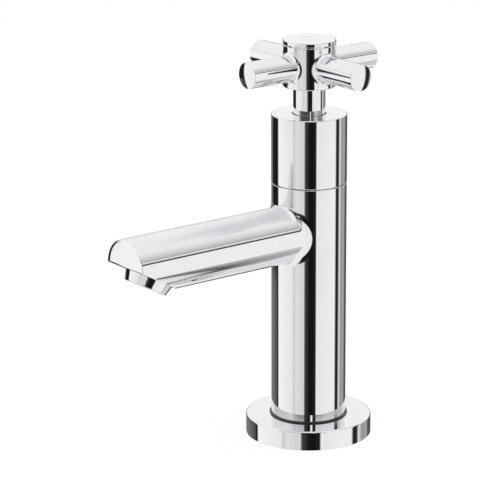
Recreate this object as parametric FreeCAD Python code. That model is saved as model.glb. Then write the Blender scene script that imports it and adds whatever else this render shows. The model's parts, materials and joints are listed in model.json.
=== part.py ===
"""Cross handle tap: a round pillar tap for one supply, with a fixed straight spout.

Millimetres, +Z up. The origin is the middle of the deck face, the face of the base ring that
stands on the basin or bath. The spout points along -Y. The threaded tail goes down through the
deck. Everything shown is the tap shut, with one handle arm over the spout.
"""
import FreeCAD, Part
import math
import os

Vec = FreeCAD.Vector
UP = Vec(0, 0, 1)

# ---- Driving dimensions ----------------------------------------------------------------------

# Outside, from the deck up
FLANGE_R = 26.9            # base ring
FLANGE_H = 8.4
COLUMN_R = 15.95           # lower column
COLUMN_TOP = 111.1         # shoulder under the fine seam
SLEEVE_R = 16.0            # cover sleeve above the seam
SEAM = 0.3
SLEEVE_TOP = 140.8
NECK_R = 6.8               # turning neck between sleeve and hub
NECK_GAP = 0.55            # ring gap round the neck in the sleeve's top
HUB_R = 11.2
HUB_BOTTOM = 152.5
HUB_TOP = 170.2
CAP_GROOVE = 0.4
CAP_THICK = 2.0
EDGE_CHAMFER = 0.3         # beside the fine seam

# Handle arms
ARM_R = 5.55
ARM_Z = 161.2
ARM_END = 33.75            # from the column's axis to the middle of the arm's end
ARM_DOME = 0.7             # how far the arm's end stands proud of its rim
ARM_NAMES = ("arm_front", "arm_right", "arm_back", "arm_left")

# Spout
SPOUT_R = 12.2
SPOUT_WALL = 2.0
SPOUT_Z = 90.2
SPOUT_END = 96.2           # from the column's axis to the flat half face at the tip
SPOUT_ROOT = 30.0          # solid root, bored for the nipple, ends here
SPOUT_CUT = 28.5           # degrees that the slanted underside of the tip falls backwards
TIP_RISE = 0.6             # the flat half face ends this far above the spout's axis

# Outlet nozzle, square to the slanted cut
NOZZLE_BACK = 13.5         # from the tip's edge to the nozzle's axis, along the cut
NOZZLE_R = 10.2
NOZZLE_MOUTH_R = 8.9
NOZZLE_H = 4.25
NOZZLE_THREAD_R = 8.95
NOZZLE_SPIGOT = 6.0
NOZZLE_BORE_R = 7.9

# Pipe thread G 1/2, and the tail through the deck
THREAD_R = 10.4775         # outside radius of the male thread
THREAD_PITCH = 25.4 / 14
THREAD_DEPTH = 1.162
THREAD_FLAT = 0.3          # width of its crests and roots
THREAD_PLAY = 0.03         # radial play of a fixed thread
TAIL_BORE_R = 7.0
TAIL_BOTTOM = -50.0
DECK = 10.0                # deck thickness that the nut is drawn at
NUT_PLAY = 0.07            # radial play of the running nut and washer

# Water way in the column
SEAT_Z = 83.0              # top of the valve seat
SEAT_PORT_R = 5.5
CAVITY_R = 12.4
CHAMBER_R = THREAD_R + THREAD_PLAY
SPIGOT_R = 14.1            # spigot above the shoulder, which carries the sleeve
SPIGOT_TOP = 115.6

# Headwork: quarter turn valve with two ceramic discs
BARREL_R = 8.9
DISC_R = 7.5
DISC_H = 3.0
DISC_PLAY = 0.03           # water film between the discs
HEX_FLATS = 21.0
HOUSING_TOP = 126.0
SPINDLE_R = 5.0
SPINDLE_PLAY = 0.06
SPLINE_R = 4.0
SPLINE_DEPTH = 0.4
SPLINE_TEETH = 20
SPLINE_PLAY = 0.05
SPINDLE_TOP = 142.0

# Handle inside
BUSH_R = 5.2
NECK_BOTTOM = 129.3
WEB_TOP = 146.0            # web that the handle screw pulls down
SCREW_WELL_R = 4.4
CAP_RECESS_R = 8.9
CAP_RECESS_DEPTH = 5.2
SCREW_R = 2.0              # M4 handle screw and grub screw
STUD_R = 2.5               # M5 arm studs
SMALL_PLAY = 0.02          # radial play of a small fixed thread

# Spout joint
NIPPLE_R = 7.5
NIPPLE_BORE_R = 5.2
NIPPLE_IN = 11.2
NIPPLE_OUT = 28.0
GRUB_Y = 22.5


# ---- Small tools -----------------------------------------------------------------------------

def rod(radius, low, high, centre=(0, 0)):
    """Upright cylinder between two heights."""
    return Part.makeCylinder(radius, high - low, Vec(centre[0], centre[1], low), UP)


def tube(inner, outer, low, high):
    """Upright ring of square section."""
    return rod(outer, low, high).cut(rod(inner, low - 1, high + 1))


def rod_along(radius, start, direction, length):
    """Cylinder from a point along a direction."""
    return Part.makeCylinder(radius, length, start, direction)


def turned(points):
    """Solid turned about Z from a closed outline of (radius, height) corners."""
    corners = [Vec(radius, 0, height) for radius, height in points]
    face = Part.Face(Part.makePolygon(corners + corners[:1]))
    return face.revolve(Vec(0, 0, 0), UP, 360)


def round_ring(middle_r, section_r, height):
    """Rubber ring of round section about Z."""
    return Part.makeTorus(middle_r, section_r, Vec(0, 0, height), UP)


def block(size_x, size_y, low, high):
    """Upright block about the Z axis."""
    return Part.makeBox(size_x, size_y, high - low, Vec(-size_x / 2, -size_y / 2, low))


def hexagon(flats, low, high):
    """Upright hexagonal prism, by its width across flats."""
    corner = flats / 2 / math.cos(math.pi / 6)
    angles = [math.radians(60 * side) for side in range(6)]
    corners = [Vec(corner * math.cos(a), corner * math.sin(a), low) for a in angles]
    return Part.Face(Part.makePolygon(corners + corners[:1])).extrude(Vec(0, 0, high - low))


def splined(tip_r, low, high):
    """Toothed bar: SPLINE_TEETH trapezium teeth between the root and tip radius."""
    corners = []
    pitch = 2 * math.pi / SPLINE_TEETH
    for tooth in range(SPLINE_TEETH):
        for share, depth in ((-0.36, 1), (-0.16, 0), (0.16, 0), (0.36, 1)):
            angle = (tooth + share) * pitch
            radius = tip_r - depth * SPLINE_DEPTH
            corners.append(Vec(radius * math.cos(angle), radius * math.sin(angle), low))
    return Part.Face(Part.makePolygon(corners + corners[:1])).extrude(Vec(0, 0, high - low))


def rotated(shape, degrees, centre=Vec(0, 0, 0), axis=UP):
    """Turned copy."""
    copy = shape.copy()
    copy.rotate(centre, axis, degrees)
    return copy


def joined(shapes):
    """One solid of several that overlap or share a face."""
    return shapes[0].multiFuse(shapes[1:]).removeSplitter()


def round_edges(solid, radius, height, edge_r):
    """Fillet the full circles about Z at one height and radius."""
    edges = [
        edge for edge in solid.Edges
        if isinstance(edge.Curve, Part.Circle)
        and abs(edge.Curve.Radius - edge_r) < 1e-3
        and abs(edge.Curve.Center.z - height) < 1e-3
    ]
    return solid.makeFillet(radius, edges)


# ---- Base ------------------------------------------------------------------------------------

SHELF = 3.0                # the column's foot stands on this shelf of the base ring
TAIL_HOLE_R = 11.2
FLANGE_EDGE = 0.7
GASKET_H = 1.4
GASKET_R = (12.8, 24.7)    # inside and outside
GASKET_PLAY = 0.3          # its recess is this much wider on both sides
SEAL_W = 0.5               # black ring between base ring and column
SEAL_PROUD = 0.45          # it shows this far above the base ring
SEAL_EDGE = 0.3


def base_flange():
    solid = rod(FLANGE_R, 0, FLANGE_H)
    solid = round_edges(solid, FLANGE_EDGE, FLANGE_H, FLANGE_R)
    solid = solid.cut(rod(TAIL_HOLE_R, -1, FLANGE_H + 1))
    solid = solid.cut(rod(COLUMN_R + SEAL_W, SHELF, FLANGE_H + 1))
    inner, outer = GASKET_R
    return solid.cut(tube(inner - GASKET_PLAY, outer + GASKET_PLAY, -1, GASKET_H))


def flange_seal_ring():
    top = FLANGE_H + SEAL_PROUD
    ring = tube(COLUMN_R, COLUMN_R + SEAL_W, SHELF, top)
    return round_edges(ring, SEAL_EDGE, top, COLUMN_R + SEAL_W)


def base_gasket():
    return tube(*GASKET_R, 0, GASKET_H)


# ---- Column ----------------------------------------------------------------------------------

TAIL_TOP = 17.0
TAIL_CHAMFER = 1.0
SEAL_H = 1.5
SHANK_SEAL_BACK = 0.2      # the washer's bore stands back from the tail's
STEP_R = 8.5               # step that the tail's washer seals against
STEP_H = 2.0
CONE_H = 3.0               # from the step out to the water way
SEAT_H = 4.0
SEAT_CONE_H = 6.0
O_RING_STEP_R = 12.3       # counterbore for the headwork's ring
O_RING_STEP = 1.4
SLEEVE_GROOVE = (13.2, 112.6, 114.0)


def column_body():
    """Cast and turned brass body: inlet below the seat, outlet chamber above it."""
    outside = turned([
        (0, SHELF), (COLUMN_R, SHELF), (COLUMN_R, COLUMN_TOP - EDGE_CHAMFER),
        (COLUMN_R - EDGE_CHAMFER, COLUMN_TOP), (SPIGOT_R, COLUMN_TOP), (SPIGOT_R, SPIGOT_TOP),
        (0, SPIGOT_TOP),
    ])
    step_low = TAIL_TOP + SEAL_H
    step_top = step_low + STEP_H
    seat_low = SEAT_Z - SEAT_H
    inside = turned([
        (0, SHELF - 1), (CHAMBER_R, SHELF - 1), (CHAMBER_R, step_low), (STEP_R, step_low),
        (STEP_R, step_top), (CAVITY_R, step_top + CONE_H), (CAVITY_R, seat_low - SEAT_CONE_H),
        (SEAT_PORT_R, seat_low), (SEAT_PORT_R, SEAT_Z), (CHAMBER_R, SEAT_Z),
        (CHAMBER_R, SPIGOT_TOP - O_RING_STEP), (O_RING_STEP_R, SPIGOT_TOP - O_RING_STEP),
        (O_RING_STEP_R, SPIGOT_TOP + 1), (0, SPIGOT_TOP + 1),
    ])
    groove_r, groove_low, groove_high = SLEEVE_GROOVE
    solid = outside.cut(inside).cut(tube(groove_r, SPIGOT_R + 1, groove_low, groove_high))
    side_port = rod_along(NIPPLE_R, Vec(0, -CHAMBER_R + 2, SPOUT_Z), Vec(0, -1, 0), COLUMN_R)
    return solid.cut(side_port)


def inlet_shank():
    """Threaded tail. Rings of the thread's depth and pitch stand for it below the deck face."""
    corners = [(TAIL_BORE_R, TAIL_BOTTOM), (THREAD_R - TAIL_CHAMFER, TAIL_BOTTOM)]
    crest = TAIL_BOTTOM + TAIL_CHAMFER
    root_r = THREAD_R - THREAD_DEPTH
    flank = THREAD_PITCH / 2 - THREAD_FLAT
    corners.append((THREAD_R, crest))
    while crest + THREAD_PITCH < 0:
        root = crest + THREAD_FLAT + flank
        corners += [(THREAD_R, crest + THREAD_FLAT), (root_r, root), (root_r, root + THREAD_FLAT)]
        crest += THREAD_PITCH
        corners.append((THREAD_R, crest))
    return turned(corners + [(THREAD_R, TAIL_TOP), (TAIL_BORE_R, TAIL_TOP)])


def shank_seal():
    return tube(TAIL_BORE_R + SHANK_SEAL_BACK, THREAD_R, TAIL_TOP, TAIL_TOP + SEAL_H)


# ---- Clamp under the deck --------------------------------------------------------------------

CLAMP_R = 21.0
RUBBER_H = 2.5
WASHER_H = 1.5
NUT_FLATS = 27.0
NUT_H = 8.0
NUT_GAP = 0.05             # from the washer
NUT_COLLAR_R = 14.7
NUT_COLLAR_H = 1.2
NUT_CORNER = (1.6, 0.9)    # chamfer of the lower corners, inwards and up
RUBBER_IN = 0.3            # rubber ring clear of the thread
RUBBER_BACK = 1.0          # rubber ring smaller than the washer


def clamp_gasket():
    return tube(THREAD_R + RUBBER_IN, CLAMP_R - RUBBER_BACK, -DECK - RUBBER_H, -DECK)


def clamp_washer():
    top = -DECK - RUBBER_H
    return tube(THREAD_R + NUT_PLAY, CLAMP_R, top - WASHER_H, top)


def backnut():
    """Hexagon nut with a round collar, chamfered at the corners of its lower face."""
    top = -DECK - RUBBER_H - WASHER_H - NUT_GAP
    bottom = top - NUT_H
    corner = NUT_FLATS / 2 / math.cos(math.pi / 6)
    inwards, upwards = NUT_CORNER
    blank = turned([
        (0, top), (corner, top), (corner, bottom + upwards), (corner - inwards, bottom), (0, bottom),
    ])
    prism = hexagon(NUT_FLATS, bottom, top - NUT_COLLAR_H).common(blank)
    solid = joined([prism, rod(NUT_COLLAR_R, top - NUT_COLLAR_H, top)])
    return solid.cut(rod(THREAD_R + NUT_PLAY, bottom - 1, top + 1))


# ---- Spout -----------------------------------------------------------------------------------

FORWARD = Vec(0, -1, 0)
TIP = Vec(0, -SPOUT_END, SPOUT_Z + TIP_RISE)
_slant = math.radians(SPOUT_CUT)
ALONG_CUT = Vec(0, math.cos(_slant), -math.sin(_slant))      # backwards and down, in the cut
OUT_OF_CUT = Vec(0, -math.sin(_slant), -math.cos(_slant))    # out of the nozzle
NOZZLE_AT = TIP + ALONG_CUT * NOZZLE_BACK
SPOUT_EDGE = 0.5
CUT_WALL = 2.4             # metal over the slanted cut
GRUB_KEY = 2.0             # across the flats of its socket
GRUB_SUNK = 0.6
NIPPLE_GROOVES = (17.8, 26.0)
NIPPLE_GROOVE_R = 6.4
NIPPLE_GROOVE_W = 1.5
O_RING_R = 0.55


def on_nozzle(low, high, radius):
    """Cylinder on the nozzle's axis, between two heights measured out of the cut."""
    return rod_along(radius, NOZZLE_AT + OUT_OF_CUT * low, OUT_OF_CUT, high - low)


def beyond_cut(inset):
    """Everything outside the slanted plane, moved inwards by inset."""
    return rod_along(60, TIP - OUT_OF_CUT * inset, OUT_OF_CUT, 60)


def spout():
    start = Vec(0, 0, SPOUT_Z)
    bar = rod_along(SPOUT_R, start, FORWARD, SPOUT_END)
    rim = [edge for edge in bar.Edges
           if isinstance(edge.Curve, Part.Circle) and abs(edge.Curve.Center.y + SPOUT_END) < 1e-3]
    bar = bar.makeFillet(SPOUT_EDGE, rim).cut(beyond_cut(0))
    bar = bar.cut(rod(COLUMN_R, SPOUT_Z - COLUMN_R, SPOUT_Z + COLUMN_R))
    hollow = rod_along(SPOUT_R - SPOUT_WALL, Vec(0, -SPOUT_ROOT, SPOUT_Z), FORWARD,
                       SPOUT_END - SPOUT_WALL - SPOUT_ROOT)
    hollow = hollow.cut(beyond_cut(CUT_WALL))
    socket = rod_along(NIPPLE_R + SMALL_PLAY, start, FORWARD, SPOUT_ROOT + 1)
    grub_hole = rod(SCREW_R, SPOUT_Z - SPOUT_R - 1, SPOUT_Z, (0, -GRUB_Y))
    bar = bar.cut(hollow).cut(socket).cut(grub_hole)
    return bar.cut(on_nozzle(-8, 1, NOZZLE_THREAD_R + THREAD_PLAY))


def spout_nipple():
    solid = rod_along(NIPPLE_R, Vec(0, -NIPPLE_IN, SPOUT_Z), FORWARD, NIPPLE_OUT - NIPPLE_IN)
    solid = solid.cut(rod_along(NIPPLE_BORE_R, Vec(0, 0, SPOUT_Z), FORWARD, SPOUT_ROOT))
    for groove_y in NIPPLE_GROOVES:
        at = Vec(0, NIPPLE_GROOVE_W / 2 - groove_y, SPOUT_Z)
        band = rod_along(NIPPLE_R + 1, at, FORWARD, NIPPLE_GROOVE_W)
        solid = solid.cut(band.cut(rod_along(NIPPLE_GROOVE_R, at, FORWARD, NIPPLE_GROOVE_W)))
    return solid


def spout_o_rings():
    return Part.makeCompound([
        Part.makeTorus(NIPPLE_GROOVE_R + O_RING_R, O_RING_R, Vec(0, -y, SPOUT_Z), FORWARD)
        for y in NIPPLE_GROOVES
    ])


def spout_grub_screw():
    """Locks the spout on its nipple, from below."""
    low = SPOUT_Z - SPOUT_R + GRUB_SUNK
    high = SPOUT_Z - NIPPLE_R
    screw = rod(SCREW_R - SMALL_PLAY, low, high, (0, -GRUB_Y))
    key = hexagon(GRUB_KEY, low - 1, low + GRUB_KEY)
    key.translate(Vec(0, -GRUB_Y, 0))
    return screw.cut(key)


# ---- Outlet nozzle ---------------------------------------------------------------------------

INSERT_R = NOZZLE_BORE_R - 0.05
MOUTH_LIP_R = 7.3
INSERT_LOW = -4.0          # heights measured out of the slanted cut
INSERT_HIGH = NOZZLE_H - 1.0
CUP_R = 6.7                # inside radius of the insert's cup wall
GRID_LOW = INSERT_HIGH - 3.0
GRID_RINGS = (1.6, 3.3, 5.0)
GRID_BAR = 0.7             # thickness of its rings and spokes
GRID_HUB_R = 0.9
GRID_SPOKES = 8
SCREEN_H = 0.5
SCREEN_HOLE_R = 0.7
SCREEN_CIRCLES = ((6, 2.2), (12, 4.4))    # number of holes and radius of each circle
NOZZLE_GROOVE = (-2.2, -0.9)
NOZZLE_GROOVE_R = 8.0
NOZZLE_RING_R = 0.48


def nozzle_housing():
    cone = Part.makeCone(NOZZLE_R, NOZZLE_MOUTH_R, NOZZLE_H, NOZZLE_AT, OUT_OF_CUT)
    solid = joined([cone, on_nozzle(-NOZZLE_SPIGOT, 0, NOZZLE_THREAD_R)])
    solid = solid.cut(on_nozzle(-NOZZLE_SPIGOT - 1, INSERT_HIGH, NOZZLE_BORE_R))
    solid = solid.cut(on_nozzle(0, NOZZLE_H + 1, MOUTH_LIP_R))
    groove = on_nozzle(*NOZZLE_GROOVE, NOZZLE_R).cut(on_nozzle(*NOZZLE_GROOVE, NOZZLE_GROOVE_R))
    return solid.cut(groove)


def nozzle_o_ring():
    at = NOZZLE_AT + OUT_OF_CUT * (sum(NOZZLE_GROOVE) / 2)
    return Part.makeTorus(NOZZLE_GROOVE_R + NOZZLE_RING_R, NOZZLE_RING_R, at, OUT_OF_CUT)


def flow_insert():
    """Stream straightener: three rings on eight spokes inside a cup wall."""
    def band(inner, outer, low, high):
        return on_nozzle(low, high, outer).cut(on_nozzle(low - 1, high + 1, inner))

    half = GRID_BAR / 2
    parts = [band(CUP_R, INSERT_R, INSERT_LOW, INSERT_HIGH)]
    parts += [band(r - half, r + half, GRID_LOW, INSERT_HIGH) for r in GRID_RINGS]
    spoke = Part.makeBox(GRID_BAR, CUP_R + half / 2, INSERT_HIGH - GRID_LOW, Vec(-half, 0, GRID_LOW))
    to_nozzle = FreeCAD.Placement(NOZZLE_AT, FreeCAD.Rotation(UP, OUT_OF_CUT))
    for number in range(GRID_SPOKES):
        arm = rotated(spoke, 360 * number / GRID_SPOKES)
        arm.Placement = to_nozzle.multiply(arm.Placement)
        parts.append(arm)
    parts.append(on_nozzle(GRID_LOW, INSERT_HIGH, GRID_HUB_R))
    return joined(parts)


def flow_screen():
    """Perforated plate on top of the straightener."""
    plate = on_nozzle(INSERT_LOW - SCREEN_H, INSERT_LOW, INSERT_R)
    to_nozzle = FreeCAD.Placement(NOZZLE_AT, FreeCAD.Rotation(UP, OUT_OF_CUT))
    holes = []
    for count, radius in SCREEN_CIRCLES:
        for number in range(count):
            angle = 2 * math.pi * number / count
            at = (radius * math.cos(angle), radius * math.sin(angle))
            hole = rod(SCREEN_HOLE_R, INSERT_LOW - SCREEN_H - 1, INSERT_LOW + 1, at)
            hole.Placement = to_nozzle
            holes.append(hole)
    return plate.cut(Part.makeCompound(holes))


# ---- Cover sleeve ----------------------------------------------------------------------------

SLEEVE_BORE_R = 14.2
SLEEVE_ROOF = 2.6
SLEEVE_EDGE = 0.5
GUIDE_R = 8.4
GUIDE_TOP = SLEEVE_TOP - 1.3
GUIDE_PLAY = 0.08
GUIDE_LIP = (1.2, 0.8)     # its lip under the sleeve's roof, outwards and down


def bonnet_sleeve():
    low = COLUMN_TOP + SEAM
    solid = turned([
        (0, low), (SLEEVE_R - EDGE_CHAMFER, low), (SLEEVE_R, low + EDGE_CHAMFER),
        (SLEEVE_R, SLEEVE_TOP), (0, SLEEVE_TOP),
    ])
    solid = round_edges(solid, SLEEVE_EDGE, SLEEVE_TOP, SLEEVE_R)
    solid = solid.cut(rod(SLEEVE_BORE_R, COLUMN_TOP - 1, SLEEVE_TOP - SLEEVE_ROOF))
    solid = solid.cut(rod(GUIDE_R, COLUMN_TOP, GUIDE_TOP))
    return solid.cut(rod(NECK_R + NECK_GAP, COLUMN_TOP, SLEEVE_TOP + 1))


def neck_guide_ring():
    """Plastic ring under the sleeve's top that the neck turns in."""
    outwards, down = GUIDE_LIP
    low = SLEEVE_TOP - SLEEVE_ROOF - down
    lip = tube(NECK_R + GUIDE_PLAY, GUIDE_R + outwards, low, SLEEVE_TOP - SLEEVE_ROOF)
    return joined([tube(NECK_R + GUIDE_PLAY, GUIDE_R, low, GUIDE_TOP), lip])


def sleeve_o_ring():
    groove_r, groove_low, groove_high = SLEEVE_GROOVE
    section_r = (SLEEVE_BORE_R - groove_r) / 2
    return round_ring(groove_r + section_r, section_r, (groove_low + groove_high) / 2)


# ---- Headwork --------------------------------------------------------------------------------

HOUSING_LOW = 85.4
FIXED_LOW = 86.2
FIXED_TOP = FIXED_LOW + DISC_H
MOVING_LOW = FIXED_TOP + DISC_PLAY
MOVING_TOP = MOVING_LOW + DISC_H
MOVING_R = DISC_R - 0.1
FOOT_R = DISC_R - 0.15
DISC_BORE_R = DISC_R + 0.1
DISC_WEB_R = 1.6           # middle of a disc, left whole
DISC_SECTOR = 80.0         # degrees of each opening in a disc
FOOT_W = 7.5
FOOT_TOP = MOVING_TOP + 2.2
GLIDE_H = 0.7
GLIDE_GAP = 0.08
GLIDE_BORE_PLAY = 0.15
HOUSING_STEP = FOOT_TOP + GLIDE_H + 0.1
THREAD_LOW = 104.0
COLLAR_R = 13.2
COLLAR_H = 1.6
HEX_H = 5.5
HOUSING_NECK_R = 7.2
SEAT_SEAL_OUT_R = 8.2
SEAT_SEAL_BACK = 0.4       # its bore stands back from the port's
WINDOW_W = 9.0
WINDOW_LOW = MOVING_TOP - 0.4
WINDOW_HIGH = HOUSING_STEP + 3.0
TONGUE_W = 3.0
TONGUE_H = 1.0
TONGUE_PLAY = 0.05
CLIP_LOW = HOUSING_TOP + 0.3
CLIP_H = 0.9
CLIP_PLAY = 0.1
CLIP_R = 6.9
CLIP_MOUTH = 5.6
CLIP_GROOVE_R = 4.3
SPINDLE_RINGS = (103.5, 109.5)
SPINDLE_GROOVE_R = 4.0
SPINDLE_GROOVE_W = 1.5
SPINDLE_RING_R = 0.5
SPINDLE_TAP_DEPTH = 12.0
SHOULDER_TOP = 128.5       # the round shaft ends and the splines start


def headwork_housing():
    """Brass housing: collar and hexagon above the body, thread, and a barrel with two windows."""
    hex_low = SPIGOT_TOP + COLLAR_H
    outside = joined([
        rod(BARREL_R, HOUSING_LOW, THREAD_LOW), rod(THREAD_R, THREAD_LOW, SPIGOT_TOP),
        rod(COLLAR_R, SPIGOT_TOP, hex_low), hexagon(HEX_FLATS, hex_low, hex_low + HEX_H),
        rod(HOUSING_NECK_R, hex_low + HEX_H, HOUSING_TOP),
    ])
    solid = outside.cut(rod(DISC_BORE_R, HOUSING_LOW - 1, HOUSING_STEP))
    solid = solid.cut(rod(SPINDLE_R + SPINDLE_PLAY, HOUSING_LOW, HOUSING_TOP + 1))
    return solid.cut(block(WINDOW_W, 2 * BARREL_R + 2, WINDOW_LOW, WINDOW_HIGH))


def headwork_o_ring():
    section_r = O_RING_STEP / 2
    return round_ring(O_RING_STEP_R - section_r - 0.05, section_r, SPIGOT_TOP - section_r)


def seat_seal():
    """Rubber ring that the housing presses on the valve seat."""
    bore_r = SEAT_PORT_R + SEAT_SEAL_BACK
    return joined([
        tube(bore_r, SEAT_SEAL_OUT_R, SEAT_Z, HOUSING_LOW),
        tube(bore_r, MOVING_R, HOUSING_LOW, FIXED_LOW),
    ])


def flow_sectors(low, high, outer):
    """Two opposite sectors of a disc, which water passes through."""
    ring = tube(DISC_WEB_R, outer, low - 1, high + 1)
    reach = 2 * DISC_R
    sectors = []
    for side in (1, -1):
        ends = [math.radians(half) for half in (-DISC_SECTOR / 2, DISC_SECTOR / 2)]
        corners = [Vec(0, 0, low)]
        corners += [Vec(side * reach * math.cos(a), side * reach * math.sin(a), low) for a in ends]
        wedge = Part.Face(Part.makePolygon(corners + corners[:1])).extrude(Vec(0, 0, high - low))
        sectors.append(wedge.common(ring))
    return Part.makeCompound(sectors)


def fixed_disc():
    plate = rod(DISC_R, FIXED_LOW, FIXED_TOP)
    return plate.cut(flow_sectors(FIXED_LOW - 1, FIXED_TOP + 1, SEAT_PORT_R + SEAT_SEAL_BACK))


def moving_disc():
    """Shut, its two openings lie a quarter turn away from those of the fixed disc."""
    plate = rod(MOVING_R, MOVING_LOW, MOVING_TOP)
    sectors = rotated(flow_sectors(MOVING_LOW - 1, MOVING_TOP + 1, DISC_R + 1), 90)
    slot = block(3 * DISC_R, TONGUE_W, MOVING_TOP - TONGUE_H, MOVING_TOP + 1)
    return plate.cut(sectors).cut(slot)


def spindle():
    """Drive foot with its tongue, sealed shaft with three grooves, splines and a tapped end."""
    foot = rod(FOOT_R, MOVING_TOP, FOOT_TOP).common(block(2 * FOOT_R, FOOT_W, MOVING_TOP, FOOT_TOP))
    tongue_low = MOVING_TOP - TONGUE_H
    tongue = rod(FOOT_R, tongue_low, MOVING_TOP).common(
        block(2 * FOOT_R, TONGUE_W - TONGUE_PLAY, tongue_low, MOVING_TOP))
    shaft = rod(SPINDLE_R, FOOT_TOP, SHOULDER_TOP)
    solid = joined([foot, tongue, shaft, splined(SPLINE_R, SHOULDER_TOP, SPINDLE_TOP)])
    half = SPINDLE_GROOVE_W / 2
    for ring_z in SPINDLE_RINGS:
        solid = solid.cut(tube(SPINDLE_GROOVE_R, SPINDLE_R + 1, ring_z - half, ring_z + half))
    clip_top = CLIP_LOW + CLIP_H + CLIP_PLAY
    solid = solid.cut(tube(CLIP_GROOVE_R, SPINDLE_R + 1, CLIP_LOW, clip_top))
    return solid.cut(rod(SCREW_R, SPINDLE_TOP - SPINDLE_TAP_DEPTH, SPINDLE_TOP + 1))


def spindle_o_rings():
    return Part.makeCompound([
        round_ring(SPINDLE_GROOVE_R + SPINDLE_RING_R + SMALL_PLAY, SPINDLE_RING_R, ring_z)
        for ring_z in SPINDLE_RINGS
    ])


def glide_washer():
    return tube(SPINDLE_R + GLIDE_BORE_PLAY, DISC_R, FOOT_TOP + GLIDE_GAP, HOUSING_STEP)


def retaining_clip():
    """Open spring clip above the housing."""
    top = CLIP_LOW + CLIP_H
    mouth = Part.makeBox(CLIP_R + 1, CLIP_MOUTH, CLIP_H + 2, Vec(0, -CLIP_MOUTH / 2, CLIP_LOW - 1))
    return tube(CLIP_GROOVE_R, CLIP_R, CLIP_LOW, top).cut(mouth)


# ---- Handle ----------------------------------------------------------------------------------

HUB_FOOT_EDGE = 1.0
HUB_TOP_EDGE = 0.2
SCREW_HOLE_PLAY = 0.2
SCREW_HEAD = (3.5, 4.0)    # radius and height
SCREW_KEY = 3.0
SCREW_KEY_DEPTH = 2.2
SCREW_LENGTH = 14.0        # under the head
STUD_IN = 4.9              # the studs' inner ends, from the column's axis
STUD_LENGTH = 15.0
STUD_HOLE_END = 22.0
CAP_EDGE = 0.45
CAP_SHOULDER_R = HUB_R - 1.0
CAP_STEM_R = CAP_RECESS_R - 0.25
CAP_STEM_H = 4.0
CAP_HOLLOW_R = 6.7
CAP_ROOF = 1.6
CAP_GROOVE_R = 7.75        # groove for the ring that holds it
CAP_RING_LOW = 2.7         # both below the hub's top
CAP_RING_HIGH = 1.4
MARK_R = (3.05, 3.45)      # plain engraved ring
MARK_DEPTH = 0.15
BUSH_BACK = (0.2, 0.3)     # bush clear of the neck's foot and of the web


def handle_hub():
    """Hub and neck in one piece, with a web for the handle screw and holes for the arm studs."""
    hub = rod(HUB_R, HUB_BOTTOM, HUB_TOP)
    hub = round_edges(hub, HUB_FOOT_EDGE, HUB_BOTTOM, HUB_R)
    hub = round_edges(hub, HUB_TOP_EDGE, HUB_TOP, HUB_R)
    solid = joined([hub, rod(NECK_R, NECK_BOTTOM, HUB_BOTTOM)])
    solid = solid.cut(rod(BUSH_R, NECK_BOTTOM - 1, SPINDLE_TOP))
    solid = solid.cut(rod(SCREW_R + SCREW_HOLE_PLAY, SPINDLE_TOP - 1, WEB_TOP + 1))
    solid = solid.cut(rod(SCREW_WELL_R, WEB_TOP, HUB_TOP + 1))
    solid = solid.cut(rod(CAP_RECESS_R, HUB_TOP - CAP_RECESS_DEPTH, HUB_TOP + 1))
    for number in range(len(ARM_NAMES)):
        hole = rod_along(STUD_R, Vec(0, 0, ARM_Z), Vec(1, 0, 0), HUB_R + 1)
        solid = solid.cut(rotated(hole, 90 * number))
    return solid


def arm(number):
    """Round arm with a domed end, its root cut to the hub's curve. Arm 0 is over the spout."""
    rim = ARM_END - ARM_DOME
    bar = rod_along(ARM_R, Vec(0, 0, ARM_Z), Vec(1, 0, 0), ARM_END)
    ball_r = (ARM_R ** 2 + ARM_DOME ** 2) / (2 * ARM_DOME)
    ball = Part.makeSphere(ball_r, Vec(rim + ARM_DOME - ball_r, 0, ARM_Z))
    bar = bar.common(ball.fuse(rod_along(ARM_R + 1, Vec(0, 0, ARM_Z), Vec(1, 0, 0), rim - ARM_R)))
    bar = bar.cut(rod(HUB_R, HUB_BOTTOM, HUB_TOP))
    bar = bar.cut(rod_along(STUD_R, Vec(0, 0, ARM_Z), Vec(1, 0, 0), STUD_HOLE_END))
    return rotated(bar.removeSplitter(), 90 * number - 90)


def arm_studs():
    stud = rod_along(STUD_R, Vec(STUD_IN, 0, ARM_Z), Vec(1, 0, 0), STUD_LENGTH)
    return Part.makeCompound([rotated(stud, 90 * number) for number in range(len(ARM_NAMES))])


def index_cap():
    """Push-in cap with a plain engraved ring."""
    low = HUB_TOP + CAP_GROOVE
    top = low + CAP_THICK
    disc = round_edges(rod(HUB_R, low, top), CAP_EDGE, top, HUB_R)
    stem_low = HUB_TOP - CAP_STEM_H
    solid = joined([disc, rod(CAP_SHOULDER_R, HUB_TOP, low), rod(CAP_STEM_R, stem_low, HUB_TOP)])
    solid = solid.cut(rod(CAP_HOLLOW_R, stem_low - 1, top - CAP_ROOF))
    groove = tube(CAP_GROOVE_R, CAP_STEM_R + 1, HUB_TOP - CAP_RING_LOW, HUB_TOP - CAP_RING_HIGH)
    return solid.cut(groove).cut(tube(*MARK_R, top - MARK_DEPTH, top + 1))


def cap_ring():
    section_r = (CAP_RECESS_R - CAP_GROOVE_R) / 2
    height = HUB_TOP - (CAP_RING_LOW + CAP_RING_HIGH) / 2
    return round_ring(CAP_GROOVE_R + section_r, section_r, height)


def handle_screw():
    head_r, head_h = SCREW_HEAD
    head_top = WEB_TOP + head_h
    shank = rod(SCREW_R, WEB_TOP - SCREW_LENGTH, WEB_TOP)
    key = hexagon(SCREW_KEY, head_top - SCREW_KEY_DEPTH, head_top + 1)
    return joined([rod(head_r, WEB_TOP, head_top), shank]).cut(key)


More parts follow.
